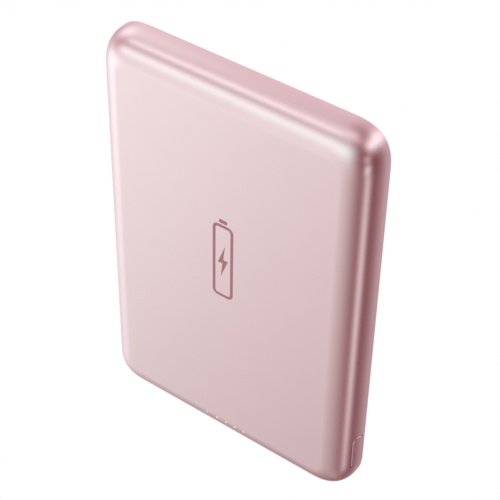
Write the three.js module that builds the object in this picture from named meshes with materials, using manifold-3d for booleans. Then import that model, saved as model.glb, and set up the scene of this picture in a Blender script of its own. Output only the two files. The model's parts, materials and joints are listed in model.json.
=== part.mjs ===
// Slim magnetic wireless power bank, lying on its back.
//
// Millimetres. The origin is the middle of the back face. +Z points out of the broad front face,
// -Y is the end with the charging port and the row of lamps, and +X is the side with the button.
import * as THREE from "three";
import { mergeVertices } from "three/addons/utils/BufferGeometryUtils.js";
import Module from "manifold-3d";

const wasm = await Module();
wasm.setup();

// ---------- driving dimensions ----------

const body = {
  width: 70,
  length: 104,
  thickness: 8.9,
  cornerRadius: 9.9,
  cornerExponent: 2.8, // above 2 the corner is squarer than a circle and blends into the sides
  frontEdgeInset: 6.5, // how far the soft front edge reaches in over the face
  frontEdgeDepth: 7.1, // and how far it reaches down the wall
  frontEdgeExponent: 2.1,
  backEdgeRadius: 0.5,
  wall: 0.85,
};

const cover = { inset: 1.0, thickness: 0.8 };
const ring = { y: 10, magnetInner: 23.1, magnetOuter: 27.8, magnets: 12, openingDegrees: 20 };
const contact = { inner: 22.6, outer: 28.4, depth: 0.3 };
const coil = { inner: 10.5, outer: 21.6, z0: 1.05, z1: 1.95 };
const coilLead = { radius: 0.22, z: 1.7, nearX: 1.6, farX: 12.5, crossY: -20.2 };
const channel = { half: 0.8, z0: 1.35 }; // the grooves in the tray that the leads lie in
const tray = { halfX: 28.8, y0: -31, y1: 41, z0: 1.0, z1: 2.0, cornerRadius: 6, bore: 28.1 };
const alignment = { halfX: 9, y0: -27.6, y1: -22.6, gap: 0.3 };
const magnetLayer = { z0: 1.05, z1: 1.95 };
const shieldLayer = { z0: 2.05, z1: 2.35 };
const graphite = { halfX: 27.5, y0: -32, y1: 42, z0: 2.42, z1: 2.52 };

const cell = { halfX: 29, y0: -33.5, y1: 46.5, z0: 2.65, z1: 7.6, cornerRadius: 3 };
const tape = { halfX: 24, endMargin: 5, above: 0.1, thickness: 0.15 };
const protection = { halfX: 12, y0: -35.6, y1: -34.8, z0: 3.2, z1: 6.8 };
const pole = { x: 6, tabHalf: 2, tabZ0: 4.9, tabZ1: 5.1, leadHalf: 1.5, leadOverlap: 1.4 };

const board = { inset: 3.0, y0: -49, y1: -37, z0: 4.9, z1: 5.7 };
const boardGap = 0.05; // solder height under every component

const lamps = { y: -46.4, first: -4.6, firstGap: 3.1, gap: 2.65, count: 5 };
const lens = { tealRadius: 0.38, whiteRadius: 0.3, clearance: 0.06, z0: 6.8, below: 0.03 };
const ledChip = { sizeX: 1.0, sizeY: 0.6, height: 0.5 };
const lightBlock = { halfY: 1.2, endWall: 1.4, z1: 7.5, well: 1.4 };

const button = {
  y: -39.4,
  z: 2.9,
  length: 10.4,
  height: 3.4,
  clearance: 0.15,
  lip: 0.3, // how far the inner flange is larger than the cap
  proud: 0.08,
  flangeX0: 33.2,
  stemX0: 31.8,
  stemHalfY: 1.4,
  bayX0: 30.8, // the room behind the button, kept clear of the battery frame
};
const sideSwitch = { x0: 27.8, x1: 31.2, halfY: 2.5, z0: 2.5, z1: 4.8 };
const plunger = { x0: 30.6, x1: 31.7, halfY: 0.8, z: 3.45, halfZ: 0.5, gap: 0.12, travelRoom: 0.4 };

const port = { z: 3.27, width: 8.94, height: 3.16, metal: 0.3, mouthY: -51.1, rearY: -43.8 };
const tongue = { halfX: 3.35, halfZ: 0.35, setBack: 0.6 };
const shoulder = { halfX: 3.3, halfZ: 1.1, depth: 1.65 };
const portSlot = { width: 10.2, height: 4.2, cornerRadius: 1.3 };
const bezel = { width: 11.6, height: 4.6, cornerRadius: 1.5, rearY: -50.2, clearance: 0.06 };

const frame = { inset: 1.2, z0: 0.95, z1: 3.9, openingX: 29.5, openingY0: -36.3, openingY1: 47, barY: -37.3 };
const bead = { outer: 1.6, inner: 2.6, gap: 0.03 }; // the glue between the frame and the back cover
const screw = {
  x: 27.5,
  y: -46,
  head: 1.3,
  headHeight: 0.5,
  shank: 0.65,
  hole: 0.8,
  pilotGap: 0.08,
  post: 1.9,
  postTop: 4.8,
  tipZ: 2.2,
  recessHalf: 0.8,
  recessHalfWidth: 0.15,
  recessDepth: 0.2,
};

const clear = 1; // how far a cutting tool runs past the surfaces it opens
const farOut = 60; // well outside the body in every direction

// ---------- materials ----------

function material(color, roughness, metalness) {
  return new THREE.MeshStandardMaterial({ color, roughness, metalness });
}

const pinkMetal = material(0xdcbcc0, 0.35, 1.0);
const pinkPlastic = material(0xd9b9bd, 0.45, 0.0);
const coverPlastic = material(0xd6b6ba, 0.6, 0.0);
const softSilicone = material(0xcfaab0, 0.8, 0.0);
const clearResin = material(0xf4f4f2, 0.2, 0.0);
const tealResin = material(0xa8e0d6, 0.2, 0.0);
const steel = material(0xb9bbbe, 0.3, 1.0);
const blackPlastic = material(0x1b1b1d, 0.55, 0.0);
const whitePlastic = material(0xe6e6e2, 0.5, 0.0);
const circuitBoard = material(0x12382a, 0.5, 0.0);
const ceramic = material(0x9a7f63, 0.5, 0.0);
const ferrite = material(0x2b2b2e, 0.7, 0.0);
const copper = material(0xb8733d, 0.35, 1.0);
const nickel = material(0xc4c0b6, 0.3, 1.0);
const pouchFoil = material(0xc9ccd0, 0.35, 1.0);
const graphiteSheet = material(0x2a2c30, 0.45, 0.3);
const adhesiveTape = material(0xe3d9a8, 0.7, 0.0);

const group = new THREE.Group();

function addPart(name, geometry, surface) {
  const mesh = new THREE.Mesh(geometry, surface);
  mesh.name = name;
  group.add(mesh);
}

// ---------- solids and booleans ----------

function toSolid(geometry) {
  const positionOnly = geometry.clone();
  positionOnly.deleteAttribute("normal");
  positionOnly.deleteAttribute("uv");
  const merged = mergeVertices(positionOnly, 1e-5);
  return new wasm.Manifold(new wasm.Mesh({
    numProp: 3,
    vertProperties: new Float32Array(merged.attributes.position.array),
    triVerts: new Uint32Array(merged.index.array),
  }));
}

function toGeometry(solid) {
  const mesh = solid.getMesh();
  const geometry = new THREE.BufferGeometry();
  geometry.setAttribute("position", new THREE.BufferAttribute(mesh.vertProperties, 3));
  geometry.setIndex(new THREE.BufferAttribute(mesh.triVerts, 1));
  geometry.computeVertexNormals();
  return geometry;
}

function cut(geometry, ...tools) {
  return toGeometry(tools.reduce((solid, tool) => solid.subtract(toSolid(tool)), toSolid(geometry)));
}

function join(geometry, ...others) {
  return toGeometry(others.reduce((solid, other) => solid.add(toSolid(other)), toSolid(geometry)));
}

function common(geometry, other) {
  return toGeometry(toSolid(geometry).intersect(toSolid(other)));
}

function block(x0, x1, y0, y1, z0, z1) {
  const geometry = new THREE.BoxGeometry(x1 - x0, y1 - y0, z1 - z0);
  return geometry.translate((x0 + x1) / 2, (y0 + y1) / 2, (z0 + z1) / 2);
}

function blockAt(x, y, sizeX, sizeY, z0, z1) {
  return block(x - sizeX / 2, x + sizeX / 2, y - sizeY / 2, y + sizeY / 2, z0, z1);
}

function post(x, y, radius, z0, z1, sides = 20) {
  const geometry = new THREE.CylinderGeometry(radius, radius, z1 - z0, sides);
  return geometry.rotateX(Math.PI / 2).translate(x, y, (z0 + z1) / 2);
}

// ---------- outlines, plates and lofts ----------

// A rectangle with superellipse corners, counter-clockwise, centred on (0, centreY).
function outline({ halfX, halfY, radius, exponent = 2, centreY = 0 }, inset = 0, steps = 10) {
  const points = [];
  const reach = radius - inset;
  for (let corner = 0; corner < 4; corner += 1) {
    const turn = (corner * Math.PI) / 2;
    for (let step = 0; step <= steps; step += 1) {
      const angle = turn + (step / steps) * (Math.PI / 2);
      const c = Math.cos(angle);
      const s = Math.sin(angle);
      const signX = corner === 0 || corner === 3 ? 1 : -1;
      const signY = corner < 2 ? 1 : -1;
      points.push(new THREE.Vector2(
        signX * (halfX - radius + reach * Math.abs(c) ** (2 / exponent)),
        centreY + signY * (halfY - radius + reach * Math.abs(s) ** (2 / exponent)),
      ));
    }
  }
  return points;
}

const bodyShape = {
  halfX: body.width / 2,
  halfY: body.length / 2,
  radius: body.cornerRadius,
  exponent: body.cornerExponent,
};

function plate(points, z0, z1, holes = []) {
  const shape = new THREE.Shape(points);
  shape.holes = holes.map((hole) => new THREE.Path(hole));
  const geometry = new THREE.ExtrudeGeometry(shape, { depth: z1 - z0, bevelEnabled: false });
  return geometry.translate(0, 0, z0);
}

function circle(x, y, radius, sides = 64) {
  const points = [];
  for (let side = 0; side < sides; side += 1) {
    const angle = (side / sides) * 2 * Math.PI;
    points.push(new THREE.Vector2(x + radius * Math.cos(angle), y + radius * Math.sin(angle)));
  }
  return points;
}

// A closed solid through outlines that all have the same number of points, from the lowest up.
function loft(levels) {
  const positions = [];
  const faces = [];
  const count = levels[0].points.length;
  levels.forEach(({ points, z }) => points.forEach((p) => positions.push(p.x, p.y, z)));
  for (let level = 0; level < levels.length - 1; level += 1) {
    for (let i = 0; i < count; i += 1) {
      const a = level * count + i;
      const b = level * count + ((i + 1) % count);
      faces.push(a, b, b + count, a, b + count, a + count);
    }
  }
  [0, levels.length - 1].forEach((level) => {
    const hub = positions.length / 3;
    const { points, z } = levels[level];
    const middle = points.reduce((sum, p) => sum.add(p), new THREE.Vector2()).divideScalar(count);
    positions.push(middle.x, middle.y, z);
    for (let i = 0; i < count; i += 1) {
      const a = level * count + i;
      const b = level * count + ((i + 1) % count);
      faces.push(hub, ...(level === 0 ? [b, a] : [a, b]));
    }
  });
  const geometry = new THREE.BufferGeometry();
  geometry.setAttribute("position", new THREE.Float32BufferAttribute(positions, 3));
  geometry.setIndex(faces);
  return geometry;
}

// The section of the body's edge as [inset, z] pairs, where inset is counted from the side wall.
function backEdge(steps = 3) {
  return Array.from({ length: steps + 1 }, (_, step) => {
    const angle = (step / steps) * (Math.PI / 2);
    return [body.backEdgeRadius * (1 - Math.sin(angle)), body.backEdgeRadius * (1 - Math.cos(angle))];
  });
}

function frontEdge(steps = 11) {
  const power = 2 / body.frontEdgeExponent;
  return Array.from({ length: steps + 1 }, (_, step) => {
    const angle = (step / steps) * (Math.PI / 2);
    return [
      body.frontEdgeInset * (1 - Math.cos(angle) ** power),
      body.thickness - body.frontEdgeDepth * (1 - Math.sin(angle) ** power),
    ];
  });
}

// A section moved inwards, square to its own line. Its first and last directions are given.
function movedIn(profile, distance, first, last) {
  const end = profile.length - 1;
  return profile.map(([inset, z], index) => {
    const before = profile[Math.max(index - 1, 0)];
    const after = profile[Math.min(index + 1, end)];
    const along = new THREE.Vector2(after[0] - before[0], after[1] - before[1]).normalize();
    if (index === 0) along.set(...first);
    if (index === end) along.set(...last);
    return [inset + distance * along.y, z - distance * along.x];
  });
}

function loftOf(profile) {
  return loft(profile.map(([inset, z]) => ({ points: outline(bodyShape, inset), z })));
}

// The whole body, grown outwards by a distance.
function bodySolid(growth = 0) {
  return loftOf(movedIn([...backEdge(), ...frontEdge()], -growth, [-1, 0], [1, 0]));
}

// The hollow inside the body at a distance from its outer surface, open through the back.
function hollow(distance) {
  return loftOf([[distance, -1], ...movedIn(frontEdge(), distance, [0, 1], [1, 0])]);
}

// A stadium-shaped bar that runs along X, longer in Y than in Z.
function pillAlongX(length, height, x0, x1, y, z) {
  const shape = { halfX: length / 2, halfY: height / 2, radius: height / 2 };
  const bar = plate(outline(shape, 0, 6), x0, x1);
  return bar.rotateZ(Math.PI / 2).rotateY(Math.PI / 2).translate(0, y, z);
}

// A bar with rounded corners that runs along Y, wider in X than in Z.
function barAlongY(width, height, radius, y0, y1, z) {
  const shape = { halfX: width / 2, halfY: height / 2, radius };
  return plate(outline(shape, 0, 6), -y1, -y0).rotateX(Math.PI / 2).translate(0, 0, z);
}

// ---------- outside ----------

const lampPlaces = Array.from({ length: lamps.count }, (_, index) => {
  const x = index === 0 ? lamps.first : lamps.first + lamps.firstGap + (index - 1) * lamps.gap;
  return { x, radius: index === 0 ? lens.tealRadius : lens.whiteRadius };
});

function addFrontShell() {
  const holes = lampPlaces.map(({ x, radius }) => (
    post(x, lamps.y, radius + lens.clearance, body.thickness - 2 * body.wall, farOut, 16)
  ));
  const slotGrowth = 2 * button.clearance;
  const buttonSlot = pillAlongX(
    button.length + slotGrowth,
    button.height + slotGrowth,
    button.flangeX0,
    farOut,
    button.y,
    button.z,
  );
  const { width, height, cornerRadius } = portSlot;
  const mouth = barAlongY(width, height, cornerRadius, -farOut, bezel.rearY, port.z);
  addPart("front_shell", cut(bodySolid(), hollow(body.wall), ...holes, buttonSlot, mouth), pinkMetal);
}

function addBackCover() {
  const panel = plate(outline(bodyShape, cover.inset), 0, cover.thickness);
  const grooveGap = 0.1;
  const groove = plate(
    circle(0, ring.y, contact.outer + grooveGap),
    -clear,
    contact.depth + grooveGap,
    [circle(0, ring.y, contact.inner - grooveGap)],
  );
  addPart("back_cover", cut(panel, groove), coverPlastic);
  const pad = plate(circle(0, ring.y, contact.outer), 0, contact.depth, [circle(0, ring.y, contact.inner)]);
  addPart("contact_ring", pad, softSilicone);
}

// The lens tops follow the face, which is still almost flat where the lamps are.
function addLenses() {
  const face = bodySolid(-lens.below);
  lampPlaces.forEach(({ x, radius }, index) => {
    const peg = common(post(x, lamps.y, radius, lens.z0, farOut, 16), face);
    addPart(`led_lens_${index + 1}`, peg, index === 0 ? tealResin : clearResin);
  });
}

function addButton() {
  const { y, z, length, height, lip, flangeX0, stemX0, stemHalfY } = button;
  const cap = common(pillAlongX(length, height, flangeX0, farOut, y, z), bodySolid(button.proud));
  const wallGap = 0.1;
  const flange = common(
    pillAlongX(length + 2 * lip, height + 2 * lip, flangeX0, farOut, y, z),
    hollow(body.wall + wallGap),
  );
  const stem = block(stemX0, flangeX0 + 0.4, y - stemHalfY, y + stemHalfY, z - 0.7, z + 1.3);
  addPart("power_button", join(cap, flange, stem), pinkPlastic);
}

function addSideSwitch() {
  const { x0, x1, halfY, z0, z1 } = sideSwitch;
  const pinBox = (startX, endX, growth) => block(
    startX,
    endX,
    button.y - plunger.halfY - growth,
    button.y + plunger.halfY + growth,
    plunger.z - plunger.halfZ - growth,
    plunger.z + plunger.halfZ + growth,
  );
  const pocket = pinBox(plunger.x0 - plunger.travelRoom, x1 + clear, plunger.gap);
  const housing = block(x0, x1, button.y - halfY, button.y + halfY, z0, z1);
  addPart("switch_body", cut(housing, pocket), steel);
  addPart("switch_plunger", pinBox(plunger.x0, plunger.x1, 0), blackPlastic);
}

function addPort() {
  const { width, height, metal, mouthY, rearY, z } = port;
  const tube = barAlongY(width, height, height / 2, mouthY, rearY, z);
  const cavityEndY = rearY - metal;
  const cavityWidth = width - 2 * metal;
  const cavityHeight = height - 2 * metal;
  const cavity = barAlongY(cavityWidth, cavityHeight, cavityHeight / 2, mouthY - clear, cavityEndY, z);
  addPart("usb_c_shell", cut(tube, cavity), steel);

  const centred = ({ halfX, halfZ }, y0, y1) => block(-halfX, halfX, y0, y1, z - halfZ, z + halfZ);
  const shoulderEndY = cavityEndY - 0.15;
  const blade = centred(tongue, mouthY + tongue.setBack, cavityEndY - 0.5);
  const root = centred(shoulder, shoulderEndY - shoulder.depth, shoulderEndY);
  addPart("usb_c_tongue", join(blade, root), blackPlastic);

  // The surround behind the shell's slot, between the slot's edge and the port's metal shell.
  const surround = barAlongY(bezel.width, bezel.height, bezel.cornerRadius, mouthY, bezel.rearY, z);
  const holeHeight = height + 2 * bezel.clearance;
  const tubeHole = barAlongY(width + 2 * bezel.clearance, holeHeight, holeHeight / 2, -farOut, rearY, z);
  addPart("port_bezel", common(cut(surround, tubeHole), hollow(body.wall + bezel.clearance)), pinkPlastic);
}

// ---------- board ----------

function addBoard() {
  const strip = block(-farOut, farOut, board.y0, board.y1, board.z0, board.z1);
  const panel = common(plate(outline(bodyShape, board.inset), board.z0, board.z1), strip);
  const holes = [-screw.x, screw.x].map((x) => (
    post(x, screw.y, screw.hole, board.z0 - clear, board.z1 + clear)
  ));
  addPart("main_board", cut(panel, ...holes), circuitBoard);
}

function addBoardComponents() {
  const onTop = board.z1 + boardGap;
  const chip = { height: 0.8, surface: blackPlastic };
  const capacitor = { sizeX: 3.2, sizeY: 1.6, height: 1.5, surface: ceramic };
  const components = [
    { name: "power_controller", x: -22, y: -42.5, sizeX: 4, sizeY: 4, ...chip },
    { name: "wireless_controller", x: 15.3, y: -42.6, sizeX: 5, sizeY: 5, ...chip },
    { name: "coil_driver", x: 21.5, y: -41.5, sizeX: 3.5, sizeY: 3.5, ...chip },
    { name: "power_inductor", x: -15, y: -42.5, sizeX: 5, sizeY: 5, height: 1.8, surface: ferrite },
    { name: "resonant_capacitor_1", x: 10.5, y: -39.2, ...capacitor },
    { name: "resonant_capacitor_2", x: 10.5, y: -41.5, ...capacitor },
    { name: "bulk_capacitor", x: -9.6, y: -40.5, ...capacitor, sizeY: 2.5, height: 1.6 },
  ];
  components.forEach(({ name, x, y, sizeX, sizeY, height, surface }) => {
    addPart(name, blockAt(x, y, sizeX, sizeY, onTop, onTop + height), surface);
  });
}

function addLampParts() {
  const onTop = board.z1 + boardGap;
  lampPlaces.forEach(({ x }, index) => {
    const { sizeX, sizeY, height } = ledChip;
    addPart(`led_chip_${index + 1}`, blockAt(x, lamps.y, sizeX, sizeY, onTop, onTop + height), whitePlastic);
  });
  const holder = block(
    lampPlaces[0].x - lightBlock.endWall,
    lampPlaces[lamps.count - 1].x + lightBlock.endWall,
    lamps.y - lightBlock.halfY,
    lamps.y + lightBlock.halfY,
    onTop,
    lightBlock.z1,
  );
  const wells = lampPlaces.map(({ x }) => blockAt(x, lamps.y, lightBlock.well, lightBlock.well, 0, farOut));
  addPart("led_light_block", cut(holder, ...wells), blackPlastic);
}

// ---------- battery ----------

function addBattery() {
  const { halfX, y0, y1, z0, z1, cornerRadius } = cell;
  const shape = { halfX, halfY: (y1 - y0) / 2, radius: cornerRadius, centreY: (y0 + y1) / 2 };
  const pouch = loft([
    { points: outline(shape, 0.9, 5), z: z0 },
    { points: outline(shape, 0.2, 5), z: z0 + 0.4 },
    { points: outline(shape, 0, 5), z: z0 + 1.1 },
    { points: outline(shape, 0, 5), z: z1 - 1.1 },
    { points: outline(shape, 0.3, 5), z: z1 - 0.4 },
    { points: outline(shape, 1.2, 5), z: z1 },
  ]);
  addPart("battery_cell", pouch, pouchFoil);
  const tapeZ0 = z1 + tape.above;
  const tapeZ1 = tapeZ0 + tape.thickness;
  const strip = block(-tape.halfX, tape.halfX, y0 + tape.endMargin, y1 - tape.endMargin, tapeZ0, tapeZ1);
  addPart("battery_adhesive", strip, adhesiveTape);
  const safetyBoard = block(
    -protection.halfX,
    protection.halfX,
    protection.y0,
    protection.y1,
    protection.z0,
    protection.z1,
  );
  addPart("battery_protection_board", safetyBoard, circuitBoard);
  const gap = 0.1;
  [["positive", pole.x], ["negative", -pole.x]].forEach(([name, x]) => {
    const { tabHalf, tabZ0, tabZ1, leadHalf, leadOverlap } = pole;
    const tab = block(x - tabHalf, x + tabHalf, protection.y1 + gap, y0 - gap, tabZ0, tabZ1);
    addPart(`battery_tab_${name}`, tab, nickel);
    const lead = block(
      x - leadHalf,
      x + leadHalf,
      board.y1 - leadOverlap,
      protection.y0 - gap,
      board.z0 - 0.3,
      board.z0 - 0.08,
    );
    addPart(`battery_lead_${name}`, lead, nickel);
  });
}

// ---------- wireless charging side ----------

// One lead from the coil's edge, round the alignment magnet, to the underside of the board.
function leadPath(side) {
  const { z, nearX, farX, crossY } = coilLead;
  return new THREE.CatmullRomCurve3([
    new THREE.Vector3(side * nearX, ring.y - coil.outer - 0.3, z),
    new THREE.Vector3(side * nearX, crossY + 1.2, z),
    new THREE.Vector3(side * (nearX + 1.2), crossY, z),
    new THREE.Vector3(side * (farX - 1.2), crossY, z),
    new THREE.Vector3(side * farX, crossY - 1.2, z),
    new THREE.Vector3(side * farX, graphite.y0, z),
    new THREE.Vector3(side * farX, cell.y0 - 0.8, z + 0.5),
    new THREE.Vector3(side * farX, frame.openingY0, frame.z1 + 0.4),
    new THREE.Vector3(side * farX, board.y1 - 1.2, board.z0 - 0.35),
  ], false, "centripetal");
}

function addCoilSide() {
  const shape = {
    halfX: tray.halfX,
    halfY: (tray.y1 - tray.y0) / 2,
    radius: tray.cornerRadius,
    centreY: (tray.y0 + tray.y1) / 2,
  };
  const { halfX, y0, y1, gap } = alignment;
  const above = tray.z1 + clear;
  const magnetPocket = block(-halfX - gap, halfX + gap, y0 - gap, y1 + gap, tray.z0 - clear, above);
  const { half, z0: channelZ } = channel;
  const { nearX, farX, crossY } = coilLead;
  const channels = [-1, 1].flatMap((side) => [
    block(side * nearX - half, side * nearX + half, crossY, ring.y - coil.outer, channelZ, above),
    block(side * farX - half, side * farX + half, tray.y0 - clear, crossY, channelZ, above),
  ]);
  const crossing = block(-farX - half, farX + half, crossY - half, crossY + half, channelZ, above);
  const panel = plate(outline(shape, 0, 5), tray.z0, tray.z1, [circle(0, ring.y, tray.bore)]);
  addPart("coil_tray", cut(panel, magnetPocket, ...channels, crossing), blackPlastic);
  addPart("alignment_magnet", block(-halfX, halfX, y0, y1, magnetLayer.z0, magnetLayer.z1), nickel);

  const winding = plate(circle(0, ring.y, coil.outer), coil.z0, coil.z1, [circle(0, ring.y, coil.inner)]);
  addPart("charging_coil", winding, copper);
  addPart("temperature_sensor", blockAt(0, ring.y, 1.6, 0.8, coil.z0, coil.z0 + 0.6), ceramic);
  const shield = plate(circle(0, ring.y, coil.outer + 0.7), shieldLayer.z0, shieldLayer.z1);
  addPart("ferrite_sheet", shield, ferrite);
  const { magnetInner, magnetOuter } = ring;
  const shunt = plate(
    circle(0, ring.y, magnetOuter),
    shieldLayer.z0,
    shieldLayer.z1,
    [circle(0, ring.y, magnetInner)],
  );
  addPart("magnet_shunt", shunt, steel);
  const sheet = block(-graphite.halfX, graphite.halfX, graphite.y0, graphite.y1, graphite.z0, graphite.z1);
  addPart("graphite_sheet", sheet, graphiteSheet);
}

function addRingMagnets() {
  const opening = THREE.MathUtils.degToRad(ring.openingDegrees);
  const pitch = (2 * Math.PI - opening) / ring.magnets;
  const gap = 0.3 / ring.magnetInner;
  for (let index = 0; index < ring.magnets; index += 1) {
    const from = -Math.PI / 2 + opening / 2 + index * pitch + gap / 2;
    const to = from + pitch - gap;
    const steps = 6;
    const arc = (radius, reverse) => Array.from({ length: steps + 1 }, (_, step) => {
      const part = reverse ? 1 - step / steps : step / steps;
      const angle = from + part * (to - from);
      return new THREE.Vector2(radius * Math.cos(angle), ring.y + radius * Math.sin(angle));
    });
    const points = [...arc(ring.magnetOuter, false), ...arc(ring.magnetInner, true)];
    const number = String(index + 1).padStart(2, "0");
    addPart(`ring_magnet_${number}`, plate(points, magnetLayer.z0, magnetLayer.z1), nickel);
  }
}

function addCoilLeads() {
  [["left", -1], ["right", 1]].forEach(([name, side]) => {
    const section = new THREE.Shape(circle(0, 0, coilLead.radius, 8));
    const wire = new THREE.ExtrudeGeometry(section, {
      steps: 36,
      extrudePath: leadPath(side),
      bevelEnabled: false,
    });
    addPart(`coil_lead_${name}`, wire, copper);
  });
}

// ---------- structure ----------

function addFrame() {
  const { inset, z0, z1, openingX, openingY0, openingY1, barY } = frame;
  const under = z0 - clear;
  const above = z1 + clear;
  const roomRound = 0.3;
  const boardPocket = common(
    plate(outline(bodyShape, board.inset - 0.2), under, above),
    block(-farOut, farOut, -farOut, barY, under, above),
  );
  const leadNotches = [-1, 1].map((side) => {
    const x = side * coilLead.farX;
    return block(x - channel.half, x + channel.half, barY - clear, openingY0 + clear, z0 + 1, above);
  });
  const bayHalfY = button.length / 2 + button.lip + 0.5;
  const buttonBay = block(button.bayX0, farOut, button.y - bayHalfY, button.y + bayHalfY, under, above);
  const switchHalfY = sideSwitch.halfY + roomRound;
  const switchBay = block(
    sideSwitch.x0 - roomRound,
    farOut,
    button.y - switchHalfY,
    button.y + switchHalfY,
    under,
    above,
  );
  const portHalfX = port.width / 2 + 0.5;
  const portRoom = block(-portHalfX, portHalfX, -farOut, port.rearY, port.z - port.height / 2 - 0.2, above);
  const bezelHalfX = bezel.width / 2 + roomRound;
  const bezelRoom = block(-bezelHalfX, bezelHalfX, -farOut, bezel.rearY + 0.2, under, above);
  const rim = cut(
    plate(outline(bodyShape, inset), z0, z1),
    block(-openingX, openingX, openingY0, openingY1, under, above),
    boardPocket,
    buttonBay,
    switchBay,
    portRoom,
    bezelRoom,
    ...leadNotches,
  );
  const posts = [-screw.x, screw.x].flatMap((x) => [
    post(x, screw.y, screw.post, z0, screw.postTop),
    block(x - 0.9, x + 0.9, -50, screw.y, z0, z1), // a rib that ties the post to the rim
  ]);
  const pilots = [-screw.x, screw.x].map((x) => (
    post(x, screw.y, screw.shank + screw.pilotGap, z0 + 0.8, screw.postTop + clear)
  ));
  addPart("battery_frame", cut(join(rim, ...posts), ...pilots), blackPlastic);

  const glue = plate(
    outline(bodyShape, bead.outer),
    cover.thickness + bead.gap,
    z0 - bead.gap,
    [outline(bodyShape, bead.inner)],
  );
  addPart("cover_adhesive", cut(glue, buttonBay), adhesiveTape);
}

function addBoardScrews() {
  const { y, head, headHeight, shank, tipZ, recessHalf, recessHalfWidth, recessDepth } = screw;
  const seat = board.z1 + boardGap;
  const top = seat + headHeight;
  [-screw.x, screw.x].forEach((x, index) => {
    const solid = join(post(x, y, head, seat, top), post(x, y, shank, tipZ, seat + headHeight / 2));
    const slotBox = (halfX, halfY) => (
      block(x - halfX, x + halfX, y - halfY, y + halfY, top - recessDepth, top + clear)
    );
    const recess = [slotBox(recessHalf, recessHalfWidth), slotBox(recessHalfWidth, recessHalf)];
    addPart(`board_screw_${index + 1}`, cut(solid, ...recess), steel);
  });
}

addFrontShell();
addBackCover();
addLenses();
addButton();
addSideSwitch();
addPort();
addBoard();
addBoardComponents();
addLampParts();
addBattery();
addCoilSide();
addRingMagnets();
addCoilLeads();
addFrame();
addBoardScrews();

export default group;
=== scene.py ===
"""Slim magnetic wireless power bank: the looks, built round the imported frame.

Metres, in the frame of the CAD model: the origin is the middle of the back face, +Z points out of the
broad front face, -Y is the end with the port and the lamps, and +X is the side with the button.
"""
import json
import math

import bmesh
import bpy
from mathutils import Matrix, Vector
from mathutils.bvhtree import BVHTree


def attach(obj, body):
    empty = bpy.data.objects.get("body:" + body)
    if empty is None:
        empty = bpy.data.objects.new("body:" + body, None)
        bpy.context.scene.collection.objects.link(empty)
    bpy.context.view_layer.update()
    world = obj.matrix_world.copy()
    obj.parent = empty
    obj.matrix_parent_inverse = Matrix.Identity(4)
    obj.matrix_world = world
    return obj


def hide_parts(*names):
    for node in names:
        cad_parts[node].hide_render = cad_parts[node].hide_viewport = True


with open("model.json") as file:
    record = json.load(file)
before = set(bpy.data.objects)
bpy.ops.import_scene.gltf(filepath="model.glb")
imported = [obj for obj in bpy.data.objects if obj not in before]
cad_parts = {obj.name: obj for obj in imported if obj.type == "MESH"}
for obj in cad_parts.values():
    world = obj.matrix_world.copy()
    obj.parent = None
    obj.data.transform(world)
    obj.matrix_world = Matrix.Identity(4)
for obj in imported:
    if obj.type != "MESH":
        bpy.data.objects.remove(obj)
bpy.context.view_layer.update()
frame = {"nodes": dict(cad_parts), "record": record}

MM = 0.001

# ---------- sizes, in millimetres: the same as in the CAD model ----------

WIDTH = 70.0
LENGTH = 104.0
THICKNESS = 8.9
CORNER_RADIUS = 9.9
CORNER_EXPONENT = 2.8
FRONT_EDGE_INSET = 6.5
FRONT_EDGE_DEPTH = 7.1
FRONT_EDGE_EXPONENT = 2.1
BACK_EDGE_RADIUS = 0.5
WALL = 0.85

COVER_INSET = 1.0
COVER_THICKNESS = 0.8
RING_Y = 10.0
CONTACT_INNER = 22.6
CONTACT_OUTER = 28.4
CONTACT_DEPTH = 0.3

BUTTON_Y = -39.4
BUTTON_Z = 2.9
BUTTON_LENGTH = 10.4
BUTTON_HEIGHT = 3.4
BUTTON_GAP = 0.15
BUTTON_PROUD = 0.08

PORT_Z = 3.27
PORT_WIDTH = 8.94
PORT_HEIGHT = 3.16
PORT_METAL = 0.3
PORT_MOUTH_Y = -51.1
PORT_REAR_Y = -43.8
TONGUE_HALF_Z = 0.35
SLOT_WIDTH = 10.2
SLOT_HEIGHT = 4.2
SLOT_CORNER = 1.3

LAMP_Y = -46.4
LAMP_FIRST = -4.6
LAMP_FIRST_GAP = 3.1
LAMP_GAP = 2.65
LAMP_COUNT = 5
LENS_TEAL_RADIUS = 0.38
LENS_WHITE_RADIUS = 0.3
LENS_CLEARANCE = 0.06

# ---------- sizes of the finer detail, in millimetres ----------

CUT_CLEAR = 1.0  # how far a cutter runs on past the body
SLOT_DEPTH = 3.0  # how far a slot's cutter reaches in, well past the wall
LIP_RADIUS = 0.14  # how far the slots' mouths are rounded
LIP_LAST_ANGLE = 60.0  # where the rounding stops, in degrees, and runs straight on
LIP_OUTSIDE = 0.15
LAMP_HOLE_DEPTH = 2.5
LAMP_HOLE_CLEAR = 0.5

BUTTON_EDGE = 0.2
BUTTON_DEPTH = 1.3
BUTTON_CROWN_STEPS = (0.15, 0.35, 0.6, 0.9, 1.2)
BUTTON_RIDGE = 0.02  # half the width of the cap's innermost ring
FLANGE_INNER = -1.6
FLANGE_OUTER = -1.0
FLANGE_LIP = 0.28
STEM_X = 31.8
STEM_LENGTH = 2.0
STEM_HALF_Y = 1.4
STEM_HALF_Z = 1.0
STEM_CORNER = 0.3
STEM_RISE = 0.3
PINHOLE_Z = 4.15
PINHOLE_RADIUS = 0.18
PINHOLE_DEPTH = 0.6
PINHOLE_CENTER = 0.01
PINHOLE_CLEAR = 0.3

LENS_BOTTOM_Z = 6.8
LENS_RECESS = 0.03
LENS_DOME = 0.06

COVER_EDGE = 0.15
GROOVE_GAP = 0.1
PAD_EDGE = 0.12

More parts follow.
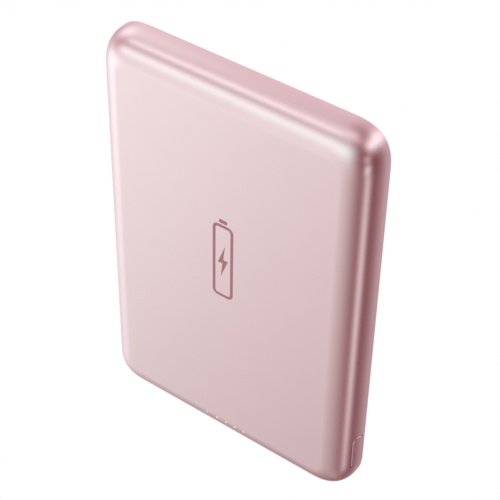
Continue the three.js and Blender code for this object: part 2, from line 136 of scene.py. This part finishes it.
STRIP_COUNT = 12
STRIP_PITCH = 0.5
STRIP_WIDTH = 0.26
STRIP_LENGTH = 2.7
STRIP_SET_BACK = 0.9
STRIP_CORNER = 0.08
STRIP_HEIGHT = 0.02
STRIP_EDGE = 0.015

MARK_Y = 5.2
MARK_LENGTH = 21.0
MARK_WIDTH = 5.6
MARK_CORNER = 1.5
MARK_LINE = 0.75
MARK_LIFT = 0.004
MARK_HEIGHT = 0.012
KNOB_HALF_X = 1.1
KNOB_HALF_Y = 0.5
KNOB_CORNER = 0.35
KNOB_RISE = 0.95
BOLT = ((0.55, 4.6), (-1.35, -0.55), (-0.1, -0.55), (-0.55, -4.6), (1.35, 0.55), (0.1, 0.55))

# ---------- camera and studio ----------

# The camera is given by its place, in millimetres, and two directions in the object's frame. These
# numbers and the lens are the rounded output of a separate program that solved the perspective.
CAMERA_PLACE = (149.9, 227.7, 208.4)
CAMERA_RIGHT = (0.80509, 0.01622, -0.59293)
CAMERA_DOWN = (0.40095, -0.75153, 0.52386)
CAMERA_LENS = 109.04
CAMERA_SENSOR = 36.0
CAMERA_CLIP_START = 0.01

FLOOR_SIZE = 3.0
FLOOR_DROP = 0.02  # millimetres under the back face
WHITE = (1.0, 1.0, 1.0, 1.0)

# Soft lights round the object: azimuth from +X towards +Y and elevation, in degrees, how far the
# light spreads, in degrees, and its colour times brightness. These are not a hand-made light plan:
# all but the two right_corner lights are the rounded output of a separate program, which fitted
# them to one reference picture. The two right_corner lights and the dome were changed afterwards.
SOFT_LIGHTS = {
    "below": (-165, -85, 36, (1.04, 1.13, 1.17)),
    "left_wall": (-155, 23, 23, (0.99, 1.50, 1.46)),
    "overhead_back": (111, 65, 23, (0.67, 1.28, 1.21)),
    "overhead_front": (-95, 63, 26, (0.42, 0.59, 0.57)),
    "right_corner_low": (41, -4, 15, (0.86, 1.05, 1.06)),
    "right_corner_lowest": (45, -36, 15, (0.86, 1.05, 1.06)),
    "left_corner_low": (142, -15, 18, (0.78, 1.13, 1.12)),
    "left_corner_high": (146, 41, 11, (0.43, 0.65, 0.62)),
    "back_wall": (100, 9, 15, (0.60, 0.82, 0.83)),
    "back_strip": (122, 15, 7, (0.46, 0.73, 0.71)),
    "back_edge": (76, 15, 8, (0.22, 0.16, 0.20)),
    "front_low": (-136, -21, 19, (0.35, 0.38, 0.38)),
    "front_fill": (-75, 17, 13, (0.22, 0.24, 0.24)),
    "right_strip_front": (-44, 9, 7, (0.63, 0.75, 0.73)),
    "right_strip_middle": (-24, 19, 8, (0.71, 0.90, 0.86)),
    "right_strip_back": (4, 23, 9, (0.45, 0.52, 0.53)),
    "warm_dome": (147, 42, 60, (0.24, 0.0, 0.04)),
}
DOME_LIGHT = (0.11, 0.0, 0.0)
LIGHT_MAP_SIZE = 512

# ---------- finishes ----------

# Moulded, pressed or fired surfaces: two tones, roughness, and the grain's size and height in
# millimetres.
MOULDED = {
    "cover_plastic": ((0.66, 0.47, 0.49), (0.69, 0.50, 0.52), 0.55, 0.25, 0.01),
    "soft_silicone": ((0.60, 0.40, 0.43), (0.63, 0.43, 0.46), 0.75, 0.12, 0.004),
    "black_plastic": ((0.012, 0.012, 0.013), (0.02, 0.02, 0.021), 0.5, 0.25, 0.01),
    "white_plastic": ((0.75, 0.75, 0.72), (0.80, 0.80, 0.77), 0.45, 0.25, 0.01),
    "circuit_board": ((0.006, 0.040, 0.022), (0.010, 0.055, 0.030), 0.4, 0.25, 0.01),
    "ceramic": ((0.30, 0.20, 0.12), (0.36, 0.25, 0.15), 0.5, 0.25, 0.01),
    "ferrite": ((0.022, 0.022, 0.024), (0.035, 0.035, 0.038), 0.65, 0.25, 0.01),
    "graphite": ((0.018, 0.019, 0.022), (0.030, 0.032, 0.036), 0.45, 0.25, 0.01),
    "adhesive_tape": ((0.70, 0.62, 0.38), (0.78, 0.70, 0.45), 0.6, 0.25, 0.01),
}

# Bare metals: two tones, roughness, and how many times finer the grain is along each axis.
METALS = {
    "steel": ((0.50, 0.50, 0.51), (0.60, 0.60, 0.61), 0.28, (1, 8, 1)),
    "copper": ((0.62, 0.27, 0.13), (0.74, 0.35, 0.18), 0.32, (1, 1, 1)),
    "nickel": ((0.56, 0.53, 0.48), (0.64, 0.61, 0.56), 0.25, (1, 1, 1)),
    "pouch_foil": ((0.58, 0.59, 0.61), (0.68, 0.69, 0.71), 0.35, (1, 1, 1)),
}

# Lit lenses: colour and strength of the glow.
LENSES = {
    "teal_resin": ((0.30, 0.72, 0.64), 0.3),
    "clear_resin": ((0.92, 0.84, 0.85), 0.25),
}


# ---------- camera, light and floor ----------

def make_camera():
    right = Vector(CAMERA_RIGHT).normalized()
    up = -Vector(CAMERA_DOWN).normalized()
    back = right.cross(up).normalized()
    up = back.cross(right)
    data = bpy.data.cameras.new("camera")
    data.lens = CAMERA_LENS
    data.sensor_width = CAMERA_SENSOR
    data.clip_start = CAMERA_CLIP_START
    camera = bpy.data.objects.new("camera", data)
    turn = Matrix((right, up, back)).transposed()
    camera.matrix_world = Matrix.Translation(Vector(CAMERA_PLACE) * MM) @ turn.to_4x4()
    bpy.context.scene.collection.objects.link(camera)
    bpy.context.scene.camera = camera


def direction(azimuth, elevation):
    azimuth = math.radians(azimuth)
    elevation = math.radians(elevation)
    return Vector((
        math.cos(elevation) * math.cos(azimuth),
        math.cos(elevation) * math.sin(azimuth),
        math.sin(elevation),
    ))


def make_world():
    """A dome of soft lights for the object, and plain white where the camera looks past it."""
    world = bpy.data.worlds.new("studio")
    bpy.context.scene.world = world
    world.use_nodes = True
    nodes = world.node_tree.nodes
    links = world.node_tree.links
    nodes.clear()
    place = nodes.new("ShaderNodeTexCoord").outputs["Generated"]

    dome = nodes.new("ShaderNodeCombineXYZ")
    for socket, value in zip(dome.inputs, DOME_LIGHT):
        socket.default_value = value
    total = dome.outputs[0]
    for azimuth, elevation, spread, color in SOFT_LIGHTS.values():
        dot = nodes.new("ShaderNodeVectorMath")
        dot.operation = "DOT_PRODUCT"
        links.new(place, dot.inputs[0])
        dot.inputs[1].default_value = direction(azimuth, elevation)
        sharpness = 1 / math.radians(spread) ** 2
        falloff = nodes.new("ShaderNodeMath")
        falloff.operation = "MULTIPLY_ADD"
        links.new(dot.outputs["Value"], falloff.inputs[0])
        falloff.inputs[1].default_value = sharpness
        falloff.inputs[2].default_value = -sharpness
        bell = nodes.new("ShaderNodeMath")
        bell.operation = "EXPONENT"
        links.new(falloff.outputs[0], bell.inputs[0])
        add = nodes.new("ShaderNodeVectorMath")
        add.operation = "MULTIPLY_ADD"
        links.new(bell.outputs[0], add.inputs[0])
        add.inputs[1].default_value = color
        links.new(total, add.inputs[2])
        total = add.outputs[0]

    light = nodes.new("ShaderNodeBackground")
    links.new(total, light.inputs["Color"])
    white = nodes.new("ShaderNodeBackground")
    white.inputs["Color"].default_value = WHITE
    seen = nodes.new("ShaderNodeLightPath").outputs["Is Camera Ray"]
    mix = nodes.new("ShaderNodeMixShader")
    links.new(seen, mix.inputs[0])
    links.new(light.outputs[0], mix.inputs[1])
    links.new(white.outputs[0], mix.inputs[2])
    output = nodes.new("ShaderNodeOutputWorld")
    links.new(mix.outputs[0], output.inputs["Surface"])
    world.cycles.sampling_method = "MANUAL"
    world.cycles.sample_map_resolution = LIGHT_MAP_SIZE


def make_floor():
    """A white floor that only the camera sees, and only from above.

    It neither shades nor colours the object, and a view from below looks through it at the back.
    """
    mesh = bpy.data.meshes.new("floor")
    half = FLOOR_SIZE / 2
    corners = [(-half, -half, 0), (half, -half, 0), (half, half, 0), (-half, half, 0)]
    mesh.from_pydata(corners, [], [(0, 1, 2, 3)])
    floor = bpy.data.objects.new("floor", mesh)
    floor.location.z = -FLOOR_DROP * MM
    bpy.context.scene.collection.objects.link(floor)
    material = bpy.data.materials.new("floor_white")
    material.use_nodes = True
    nodes = material.node_tree.nodes
    links = material.node_tree.links
    nodes.clear()
    glow = nodes.new("ShaderNodeEmission")
    glow.inputs["Color"].default_value = WHITE
    through = nodes.new("ShaderNodeBsdfTransparent")
    underside = nodes.new("ShaderNodeNewGeometry").outputs["Backfacing"]
    mix = nodes.new("ShaderNodeMixShader")
    links.new(underside, mix.inputs[0])
    links.new(glow.outputs[0], mix.inputs[1])
    links.new(through.outputs[0], mix.inputs[2])
    output = nodes.new("ShaderNodeOutputMaterial")
    links.new(mix.outputs[0], output.inputs["Surface"])
    mesh.materials.append(material)
    floor.visible_diffuse = False
    floor.visible_glossy = False
    floor.visible_transmission = False
    floor.visible_shadow = False


# ---------- materials ----------

class Shader:
    """A Principled material with short calls for the nodes that drive it."""

    def __init__(self, name, **settings):
        self.material = bpy.data.materials.new(name)
        self.material.use_nodes = True
        tree = self.material.node_tree
        self.nodes = tree.nodes
        self.links = tree.links
        self.shader = self.nodes["Principled BSDF"]
        for socket, value in settings.items():
            self.shader.inputs[socket].default_value = value
        self.place = self.nodes.new("ShaderNodeTexCoord").outputs["Object"]

    def noise(self, size, detail=2.0, stretch=(1, 1, 1)):
        """Noise whose features are about size millimetres across."""
        mapping = self.nodes.new("ShaderNodeMapping")
        mapping.inputs["Scale"].default_value = stretch
        self.links.new(self.place, mapping.inputs["Vector"])
        texture = self.nodes.new("ShaderNodeTexNoise")
        texture.inputs["Scale"].default_value = 1 / (size * MM)
        texture.inputs["Detail"].default_value = detail
        self.links.new(mapping.outputs[0], texture.inputs["Vector"])
        return texture.outputs["Fac"]

    def color(self, factor, first, second):
        mix = self.nodes.new("ShaderNodeMix")
        mix.data_type = "RGBA"
        mix.inputs["A"].default_value = (*first, 1)
        mix.inputs["B"].default_value = (*second, 1)
        self.links.new(factor, mix.inputs["Factor"])
        self.links.new(mix.outputs["Result"], self.shader.inputs["Base Color"])

    def roughness(self, factor, low, high):
        scale = self.nodes.new("ShaderNodeMapRange")
        scale.inputs["To Min"].default_value = low
        scale.inputs["To Max"].default_value = high
        self.links.new(factor, scale.inputs["Value"])
        self.links.new(scale.outputs[0], self.shader.inputs["Roughness"])

    def bump(self, factor, height, strength):
        """A bump of a given height in millimetres."""
        node = self.nodes.new("ShaderNodeBump")
        node.inputs["Strength"].default_value = strength
        node.inputs["Distance"].default_value = height * MM
        self.links.new(factor, node.inputs["Height"])
        self.links.new(node.outputs[0], self.shader.inputs["Normal"])


def anodised_pink():
    """Rose anodised aluminium: fine bead-blast grain under a satin finish."""
    shader = Shader("anodised_pink", Metallic=1.0)
    cloud = shader.noise(9.0, detail=3.0)
    grain = shader.noise(0.16)
    shader.color(cloud, (0.805, 0.588, 0.608), (0.825, 0.606, 0.626))
    shader.roughness(grain, 0.16, 0.22)
    shader.bump(grain, 0.001, 0.12)
    return shader.material


def moulded(name, first, second, rough, grain_size, grain_height):
    """A moulded, pressed or fired surface with a fine texture."""
    shader = Shader(name)
    grain = shader.noise(grain_size, detail=3.0)
    shader.color(shader.noise(4.0), first, second)
    shader.roughness(grain, rough - 0.06, rough + 0.06)
    shader.bump(grain, grain_height, 0.4)
    return shader.material


def metal(name, first, second, rough, stretch):
    """Bare metal with a fine drawn or rolled grain."""
    shader = Shader(name, Metallic=1.0)
    grain = shader.noise(0.3, detail=4.0, stretch=stretch)
    shader.color(grain, first, second)
    shader.roughness(grain, rough - 0.05, rough + 0.08)
    shader.bump(grain, 0.002, 0.3)
    return shader.material


def lit_lens(name, color, strength):
    """A clear peg lit from below, which glows a little in its own colour."""
    shader = Shader(name, Roughness=0.2)
    shader.color(shader.noise(0.2), tuple(0.9 * c for c in color), color)
    shader.shader.inputs["Emission Color"].default_value = (*color, 1)
    shader.shader.inputs["Emission Strength"].default_value = strength
    return shader.material


def rose_ink():
    """The printed mark: a dark rose ink, a little glossier where it lies thick."""
    shader = Shader("rose_ink", Metallic=0.35)
    shader.color(shader.noise(0.5), (0.44, 0.17, 0.20), (0.50, 0.20, 0.23))
    shader.roughness(shader.noise(0.3), 0.38, 0.5)
    return shader.material


def make_materials():
    """One material for each slot of the record."""
    materials = {"pink_metal": anodised_pink()}
    for name, settings in MOULDED.items():
        materials[name] = moulded(name, *settings)
    for name, settings in METALS.items():
        materials[name] = metal(name, *settings)
    for name, settings in LENSES.items():
        materials[name] = lit_lens(name, *settings)
    return materials


def dress_cad_nodes(materials):
    """Every CAD node gets the procedural material of its slot."""
    slots = {part["node"]: part["material_slot"] for part in frame["record"]["subparts"]}
    for name, node in frame["nodes"].items():
        node.data.materials.clear()
        node.data.materials.append(materials[slots[name]])


# ---------- outlines and surfaces, in millimetres ----------

def outline(half_x, half_y, radius, exponent=2.0, inset=0.0, steps=24):
    """A rectangle with superellipse corners, counter-clockwise round the middle."""
    points = []
    reach = radius - inset
    for corner in range(4):
        sign_x = 1 if corner in (0, 3) else -1
        sign_y = 1 if corner < 2 else -1
        for step in range(steps + 1):
            angle = (corner + step / steps) * math.pi / 2
            across = abs(math.cos(angle)) ** (2 / exponent)
            along = abs(math.sin(angle)) ** (2 / exponent)
            points.append((
                sign_x * (half_x - radius + reach * across),
                sign_y * (half_y - radius + reach * along),
            ))
    return points


def body_outline(inset):
    return outline(WIDTH / 2, LENGTH / 2, CORNER_RADIUS, CORNER_EXPONENT, inset)


def quarter(steps):
    """Evenly spaced angles from 0 to a right angle, both included."""
    return [math.pi / 2 * step / steps for step in range(steps + 1)]


def back_edge(steps=6):
    """The back edge as (inset, z) pairs, from the back face to the wall."""
    return [
        (BACK_EDGE_RADIUS * (1 - math.sin(a)), BACK_EDGE_RADIUS * (1 - math.cos(a)))
        for a in quarter(steps)
    ]


def front_edge(steps):
    """The soft front edge as (inset, z) pairs, from the wall to the front face."""
    power = 2 / FRONT_EDGE_EXPONENT
    return [
        (
            FRONT_EDGE_INSET * (1 - math.cos(a) ** power),
            THICKNESS - FRONT_EDGE_DEPTH * (1 - math.sin(a) ** power),
        )
        for a in quarter(steps)
    ]


def moved_in(profile, distance, first, last):
    """A section moved inwards, square to its own line, given its first and last directions."""
    moved = []
    end = len(profile) - 1
    for index, (inset, z) in enumerate(profile):
        before = profile[max(index - 1, 0)]
        after = profile[min(index + 1, end)]
        along = Vector((after[0] - before[0], after[1] - before[1])).normalized()
        if index == 0:
            along = Vector(first)
        if index == end:
            along = Vector(last)
        moved.append((inset + distance * along.y, z - distance * along.x))
    return moved


def wall_inset(z):
    """How far the body's surface is inside its widest outline at a height on the wall."""
    depth = THICKNESS - z
    if depth >= FRONT_EDGE_DEPTH:
        return 0.0
    sine = (1 - depth / FRONT_EDGE_DEPTH) ** (FRONT_EDGE_EXPONENT / 2)
    cosine = math.sqrt(max(1 - sine * sine, 0))
    return FRONT_EDGE_INSET * (1 - cosine ** (2 / FRONT_EDGE_EXPONENT))


def corner_inset(along, half):
    """How far the outline has drawn in at a distance along a side that ends in a corner."""
    reach = max(abs(along) - (half - CORNER_RADIUS), 0) / CORNER_RADIUS
    return CORNER_RADIUS * (1 - (1 - reach ** CORNER_EXPONENT) ** (1 / CORNER_EXPONENT))


def right_wall_x(y, z):
    return WIDTH / 2 - wall_inset(z) - corner_inset(y, LENGTH / 2)


def end_wall_y(x, z):
    return -(LENGTH / 2 - wall_inset(z) - corner_inset(x, WIDTH / 2))


# ---------- meshes ----------

def loft(name, rings, closed_ring=False):
    """A mesh of quads through rings of points in millimetres, closed at its ends or into a tube."""
    mesh = bmesh.new()
    levels = [[mesh.verts.new(Vector(point) * MM) for point in ring] for ring in rings]
    pairs = list(zip(levels, levels[1:]))
    if closed_ring:
        pairs.append((levels[-1], levels[0]))
    for low, high in pairs:
        for i in range(len(low)):
            j = (i + 1) % len(low)
            mesh.faces.new((low[i], low[j], high[j], high[i]))
    if not closed_ring:
        mesh.faces.new(reversed(levels[0]))
        mesh.faces.new(levels[-1])
    bmesh.ops.remove_doubles(mesh, verts=mesh.verts, dist=1e-8)
    bmesh.ops.recalc_face_normals(mesh, faces=mesh.faces)
    if mesh.calc_volume(signed=True) < 0:
        bmesh.ops.reverse_faces(mesh, faces=mesh.faces)
    data = bpy.data.meshes.new(name)
    mesh.to_mesh(data)
    mesh.free()
    return data


def at_height(points, z):
    return [(x, y, z) for x, y in points]


def body_mesh(name, profile):
    return loft(name, [at_height(body_outline(inset), z) for inset, z in profile])


def turned(name, profile, center_y, steps=160):
    """A ring turned about a vertical axis, from a closed section of (radius, z) points."""
    angles = [step / steps * 2 * math.pi for step in range(steps)]
    rings = [
        [(radius * math.cos(a), center_y + radius * math.sin(a), z) for a in angles]
        for radius, z in profile
    ]
    return loft(name, rings, closed_ring=True)


def peg_rings(x, y, profile, steps=8):
    """Round rings about an upright line, from (radius, z) pairs."""
    return [
        [(x + px, y + py, z) for px, py in outline(radius, radius, radius, steps=steps)]
        for radius, z in profile
    ]


def add_object(name, mesh, material=None):
    piece = bpy.data.objects.new(name, mesh)
    bpy.context.scene.collection.objects.link(piece)
    if material:
        mesh.materials.append(material)
    return piece


def cut(piece, cutters):
    """Cuts the cutters out of the piece, one after another, and removes them."""
    for cutter in cutters:
        modifier = piece.modifiers.new("cut", "BOOLEAN")
        modifier.operation = "DIFFERENCE"
        modifier.solver = "EXACT"
        modifier.object = cutter
    bpy.context.view_layer.update()
    evaluated = piece.evaluated_get(bpy.context.evaluated_depsgraph_get())
    result = bpy.data.meshes.new_from_object(evaluated)
    piece.modifiers.clear()
    piece.data = result
    for cutter in cutters:
        bpy.data.objects.remove(cutter)


def join_meshes(piece, name, others):
    """Adds more closed meshes to a piece, in the piece's own material."""
    mesh = bmesh.new()
    mesh.from_mesh(piece.data)
    for other in others:
        mesh.from_mesh(other)
    material = piece.data.materials[0]
    data = bpy.data.meshes.new(name)
    mesh.to_mesh(data)
    mesh.free()
    data.materials.append(material)
    piece.data = data
    piece.name = name
    smooth(piece, 50)


def smooth(piece, angle):
    """Smooth shading that keeps the edges sharper than an angle, in degrees."""
    for face in piece.data.polygons:
        face.use_smooth = True
    piece.data.set_sharp_from_angle(angle=math.radians(angle))


def take_normals(piece, source_mesh, reach=0.03):
    """Gives the faces that lie on a source surface that surface's own smooth normals.

    A cut leaves long thin faces round each hole, which would shade unevenly by themselves. A face
    lies on the surface if all its corners are within reach of it, in millimetres.
    """
    source = bmesh.new()
    source.from_mesh(source_mesh)
    source.normal_update()
    bmesh.ops.triangulate(source, faces=source.faces)
    source.faces.ensure_lookup_table()
    tree = BVHTree.FromBMesh(source)
    data = piece.data
    smooth(piece, 40)
    on_surface = {}
    for vertex in data.vertices:
        place, _, index, distance = tree.find_nearest(vertex.co)
        if distance < reach * MM:
            on_surface[vertex.index] = smooth_normal(source.faces[index], place)
    normals = [tuple(corner.vector) for corner in data.corner_normals]
    for face in data.polygons:
        if all(index in on_surface for index in face.vertices):
            for loop, index in zip(face.loop_indices, face.vertices):
                normals[loop] = tuple(on_surface[index])
    data.normals_split_custom_set(normals)
    source.free()


def smooth_normal(face, point):
    """The normal between a triangle's corners, weighted by where the point is in it."""
    a, b, c = (vertex.co for vertex in face.verts)
    whole = (b - a).cross(c - a).length
    if whole < 1e-14:
        return face.normal.copy()
    weight_a = (b - point).cross(c - point).length / whole
    weight_b = (c - point).cross(a - point).length / whole
    weight_c = (a - point).cross(b - point).length / whole
    corners = [vertex.normal for vertex in face.verts]
    return (weight_a * corners[0] + weight_b * corners[1] + weight_c * corners[2]).normalized()


# ---------- slots and edges that follow the curved walls ----------

def lip_profile(steps=5):
    """A slot's mouth as (offset from the surface, growth of the slot), from the inside out."""
    last = math.radians(LIP_LAST_ANGLE)
    pairs = [(-SLOT_DEPTH, 0.0)]
    for step in range(steps + 1):
        angle = last * step / steps
        pairs.append((LIP_RADIUS * (math.sin(angle) - 1), LIP_RADIUS * (1 - math.cos(angle))))
    offset, growth = pairs[-1]
    pairs.append((offset + LIP_OUTSIDE, growth + LIP_OUTSIDE * math.tan(last)))
    return pairs


def cap_profile(steps=6):
    """The button cap as (offset from the wall, growth of the cap), from the inside out."""
    pairs = [(-BUTTON_DEPTH, 0.0)]
    for angle in quarter(steps):
        offset = BUTTON_PROUD - BUTTON_EDGE * (1 - math.sin(angle))
        pairs.append((offset, -BUTTON_EDGE * (1 - math.cos(angle))))
    last_step = BUTTON_HEIGHT / 2 - BUTTON_EDGE - BUTTON_RIDGE
    for step in (*BUTTON_CROWN_STEPS, last_step):
        pairs.append((BUTTON_PROUD, -BUTTON_EDGE - step))
    return pairs


def right_wall_rings(profile, gap=0.0):
    """Stadium rings round the button's middle that follow the right wall."""
    rings = []
    for offset, growth in profile:
        reach = BUTTON_HEIGHT / 2 + gap + growth
        half = BUTTON_LENGTH / 2 + gap + growth
        points = outline(half, reach, reach, steps=12)
        places = [(BUTTON_Y + along, BUTTON_Z + up) for along, up in points]
        rings.append([(right_wall_x(y, z) + offset, y, z) for y, z in places])
    return rings


def end_wall_rings(profile):
    """Rings round the port's middle that follow the bottom end wall."""
    rings = []
    for offset, growth in profile:
        half_x = SLOT_WIDTH / 2 + growth
        half_z = SLOT_HEIGHT / 2 + growth
        points = outline(half_x, half_z, SLOT_CORNER + growth, steps=12)
        places = [(x, PORT_Z + up) for x, up in points]
        rings.append([(x, end_wall_y(x, z) - offset, z) for x, z in places])
    return rings


# ---------- front shell, button and lamps ----------

def lamp_places():
    """(x, lens radius) of each lamp, the teal one first."""
    places = [(LAMP_FIRST, LENS_TEAL_RADIUS)]
    for index in range(LAMP_COUNT - 1):
        places.append((LAMP_FIRST + LAMP_FIRST_GAP + index * LAMP_GAP, LENS_WHITE_RADIUS))
    return places


def make_slot_cutters():
    """The button's slot and the port's slot, each run on to a flat end outside the body."""
    rings = right_wall_rings(lip_profile(), BUTTON_GAP)
    rings.append([(WIDTH / 2 + CUT_CLEAR, y, z) for _, y, z in rings[-1]])
    button_slot = add_object("button_slot", loft("button_slot", rings))
    rings = end_wall_rings(lip_profile())
    rings.append([(x, -LENGTH / 2 - CUT_CLEAR, z) for x, _, z in rings[-1]])
    port_slot = add_object("port_slot", loft("port_slot", rings))
    return [button_slot, port_slot]


def make_front_shell(materials):
    outer_mesh = body_mesh("outer_surface", back_edge() + front_edge(40))
    shell = add_object("front_shell_metal", outer_mesh.copy(), materials["pink_metal"])
    inside = [(WALL, -CUT_CLEAR)] + moved_in(front_edge(16), WALL, (0, 1), (1, 0))
    cutters = [add_object("hollow", body_mesh("hollow", inside))]
    cutters += make_slot_cutters()
    for x, radius in lamp_places():
        hole_radius = radius + LENS_CLEARANCE
        levels = (THICKNESS - LAMP_HOLE_DEPTH, THICKNESS + LAMP_HOLE_CLEAR)
        rings = peg_rings(x, LAMP_Y, [(hole_radius, z) for z in levels])
        cutters.append(add_object("lamp_hole", loft("lamp_hole", rings)))
    cut(shell, cutters)
    take_normals(shell, outer_mesh)
    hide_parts("front_shell")
    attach(shell, "housing")


def make_pinhole():
    """A cutter for the pinhole near the front edge of the cap."""
    x = right_wall_x(BUTTON_Y, PINHOLE_Z) + BUTTON_PROUD
    rings = []
    for angle in quarter(4):
        radius = PINHOLE_RADIUS * math.sin(angle) + PINHOLE_CENTER
        depth = PINHOLE_DEPTH * math.cos(angle)
        circle = outline(radius, radius, radius, steps=6)
        rings.append([(x - depth, BUTTON_Y + py, PINHOLE_Z + pz) for py, pz in circle])
    rings.append([(x + PINHOLE_CLEAR, y, z) for _, y, z in rings[-1]])
    return add_object("pinhole", loft("pinhole", rings))


def make_button(materials):
    """The cap with its inner flange and the stem that pushes the switch."""
    cap = add_object("cap", loft("cap", right_wall_rings(cap_profile())), materials["pink_metal"])
    cut(cap, [make_pinhole()])
    flange_profile = [(FLANGE_INNER, FLANGE_LIP), (FLANGE_OUTER, FLANGE_LIP)]
    flange = loft("flange", right_wall_rings(flange_profile))
    section = outline(STEM_HALF_Y, STEM_HALF_Z, STEM_CORNER, steps=4)
    stem = loft("stem", [
        [(x, BUTTON_Y + py, BUTTON_Z + STEM_RISE + pz) for py, pz in section]
        for x in (STEM_X, STEM_X + STEM_LENGTH)
    ])
    join_meshes(cap, "power_button_cap", [flange, stem])
    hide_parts("power_button")
    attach(cap, "power_button")


def make_lenses(materials):
    """Clear pegs with a low dome, a hair under the face."""
    steps = 5
    shoulder = THICKNESS - LENS_RECESS - LENS_DOME
    for index, (x, radius) in enumerate(lamp_places()):
        slot = "teal_resin" if index == 0 else "clear_resin"
        profile = [(radius, LENS_BOTTOM_Z)]
        for angle in quarter(steps)[:-1]:
            profile.append((radius * math.cos(angle), shoulder + LENS_DOME * math.sin(angle)))
        name = f"led_lens_{index + 1}"
        mesh = loft(name, peg_rings(x, LAMP_Y, profile))
        lens = add_object(f"{name}_glow", mesh, materials[slot])
        smooth(lens, 50)
        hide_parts(name)
        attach(lens, "housing")


# ---------- back cover and port ----------

def rounded_edge(radius, steps=4):
    """The low, rounded edge of a plate as (inset, z) pairs, from its face to its side."""
    return [(radius * (1 - math.sin(a)), radius * (1 - math.cos(a))) for a in quarter(steps)]


def make_cover(materials):
    profile = [(COVER_INSET + inset, z) for inset, z in rounded_edge(COVER_EDGE)]
    profile.append((COVER_INSET, COVER_THICKNESS))
    mesh = body_mesh("back_cover_panel", profile)
    cover = add_object("back_cover_panel", mesh, materials["cover_plastic"])
    inner = CONTACT_INNER - GROOVE_GAP
    outer = CONTACT_OUTER + GROOVE_GAP
    top = CONTACT_DEPTH + GROOVE_GAP
    groove = [(inner, -CUT_CLEAR), (outer, -CUT_CLEAR), (outer, top), (inner, top)]
    cut(cover, [add_object("groove", turned("groove", groove, RING_Y))])
    smooth(cover, 35)
    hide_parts("back_cover")
    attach(cover, "housing")


def make_contact_ring(materials):
    edge = rounded_edge(PAD_EDGE)
    section = [(CONTACT_INNER, CONTACT_DEPTH)]
    section += [(CONTACT_INNER + inset, z) for inset, z in reversed(edge)]
    section += [(CONTACT_OUTER - inset, z) for inset, z in edge]
    section += [(CONTACT_OUTER, CONTACT_DEPTH)]
    mesh = turned("contact_ring_pad", section, RING_Y)
    pad = add_object("contact_ring_pad", mesh, materials["soft_silicone"])
    smooth(pad, 35)
    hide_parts("contact_ring")
    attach(pad, "housing")


def port_rings(levels):
    """Stadium rings round the port's middle, from (y, growth) pairs."""
    rings = []
    for y, growth in levels:
        reach = PORT_HEIGHT / 2 + growth
        points = outline(PORT_WIDTH / 2 + growth, reach, reach, steps=12)
        rings.append([(x, y, PORT_Z + up) for x, up in points])
    return rings


def make_port(materials):
    """The port's metal shell: a tube with a rounded rim and a closed rear."""
    steps = 6
    rim_radius = PORT_METAL / 2
    rim_y = PORT_MOUTH_Y + rim_radius
    levels = [(PORT_REAR_Y, 0.0)]
    for step in range(steps + 1):
        angle = math.pi * step / steps
        levels.append((rim_y - rim_radius * math.sin(angle), rim_radius * (math.cos(angle) - 1)))
    levels.append((PORT_REAR_Y - PORT_METAL, -PORT_METAL))
    tube = add_object("usb_c_tube", loft("usb_c_tube", port_rings(levels)), materials["steel"])
    smooth(tube, 50)
    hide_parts("usb_c_shell")
    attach(tube, "housing")


def make_tongue_contacts(materials):
    """Twelve copper-coloured contact strips on each side of the port's tongue, with softened edges."""
    strips = []
    middle_y = PORT_MOUTH_Y + STRIP_SET_BACK + STRIP_LENGTH / 2
    levels = [(0.0, -STRIP_HEIGHT), (0.0, STRIP_HEIGHT - STRIP_EDGE), (STRIP_EDGE, STRIP_HEIGHT)]
    half_x = STRIP_WIDTH / 2
    half_y = STRIP_LENGTH / 2
    for side in (-1, 1):
        for index in range(STRIP_COUNT):
            middle_x = (index - (STRIP_COUNT - 1) / 2) * STRIP_PITCH
            rings = []
            for inset, height in levels:
                points = outline(half_x, half_y, STRIP_CORNER, inset=inset, steps=3)
                z = PORT_Z + side * (TONGUE_HALF_Z + height)
                rings.append([(middle_x + x, middle_y + y, z) for x, y in points])
            strips.append(loft("strip", rings))
    contacts = add_object("usb_c_contacts", strips[0], materials["copper"])
    join_meshes(contacts, "usb_c_contacts", strips[1:])
    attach(contacts, "housing")


# ---------- printed mark ----------

def make_mark():
    """A plain battery pictogram with a charging bolt, printed along the middle of the face."""
    mesh = bmesh.new()

    def add_points(points):
        base = THICKNESS + MARK_LIFT
        return [mesh.verts.new((x, y + MARK_Y, base)) for x, y in points]

    half_x = MARK_WIDTH / 2
    half_y = MARK_LENGTH / 2
    outer = add_points(outline(half_x, half_y, MARK_CORNER, steps=8))
    inner = add_points(outline(half_x, half_y, MARK_CORNER, inset=MARK_LINE, steps=8))
    for i in range(len(outer)):
        j = (i + 1) % len(outer)
        mesh.faces.new((outer[i], outer[j], inner[j], inner[i]))
    knob = outline(KNOB_HALF_X, KNOB_HALF_Y, KNOB_CORNER, steps=4)
    mesh.faces.new(add_points([(x, y + half_y + KNOB_RISE) for x, y in knob]))
    mesh.faces.new(add_points(BOLT))
    extruded = bmesh.ops.extrude_face_region(mesh, geom=mesh.faces[:])
    lifted = [item for item in extruded["geom"] if isinstance(item, bmesh.types.BMVert)]
    bmesh.ops.translate(mesh, verts=lifted, vec=(0, 0, MARK_HEIGHT))
    bmesh.ops.scale(mesh, vec=(MM, MM, MM), verts=mesh.verts)
    bmesh.ops.recalc_face_normals(mesh, faces=mesh.faces)
    data = bpy.data.meshes.new("face_pictogram")
    mesh.to_mesh(data)
    mesh.free()
    mark = add_object("face_pictogram", data, rose_ink())
    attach(mark, "housing")


def main():
    bpy.context.scene.view_settings.view_transform = "Standard"
    make_camera()
    make_world()
    make_floor()
    materials = make_materials()
    dress_cad_nodes(materials)
    make_front_shell(materials)
    make_button(materials)
    make_lenses(materials)
    make_cover(materials)
    make_contact_ring(materials)
    make_port(materials)
    make_tongue_contacts(materials)
    make_mark()


main()
